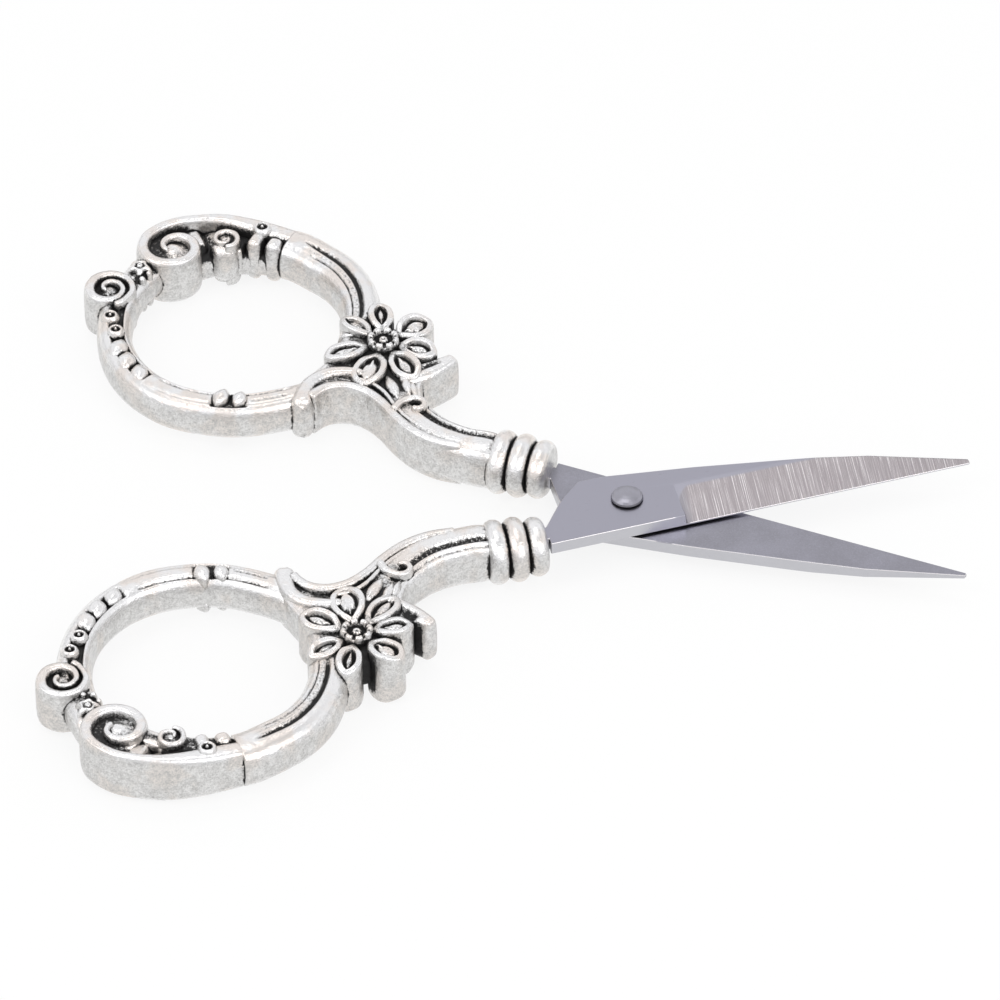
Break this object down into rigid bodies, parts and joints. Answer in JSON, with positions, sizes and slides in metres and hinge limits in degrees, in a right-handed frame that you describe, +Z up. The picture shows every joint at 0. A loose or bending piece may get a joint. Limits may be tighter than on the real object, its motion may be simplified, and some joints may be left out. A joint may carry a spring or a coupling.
{
  "type": "embroidery scissors",
  "caption": "Small ornamental scissors standing half open, with cast scroll and flower handles, narrow bevelled blades and a domed pivot rivet.",
  "frame": {"origin": "on the table plane, under the middle of the half-open scissors' outline", "axes": "+X from the finger rings to the blade tips along the line that halves the opening, +Y towards the far handle, +Z up, along the pivot"},
  "size_m": [0.1232, 0.1152, 0.0086],
  "materials": {
    "casting": "antique silver plate over a zinc casting, dark patina left in the recesses",
    "blade_steel": "ground steel with brushed cross lines on the bevel",
    "rivet_steel": "dull headed-over steel"
  },
  "bodies": {
    "far_half": {"far_handle": "casting", "lower_blade": "blade_steel", "pivot_rivet": "rivet_steel"},
    "near_half": {"near_handle": "casting", "upper_blade": "blade_steel"}
  },
  "joints": [
    {"name": "pivot", "type": "hinge", "parent": "far_half", "child": "near_half", "pos_m": [0.0155, 0, 0.0043], "axis": [0, 0, 1], "range_deg": [-29, 70]}
  ]
}
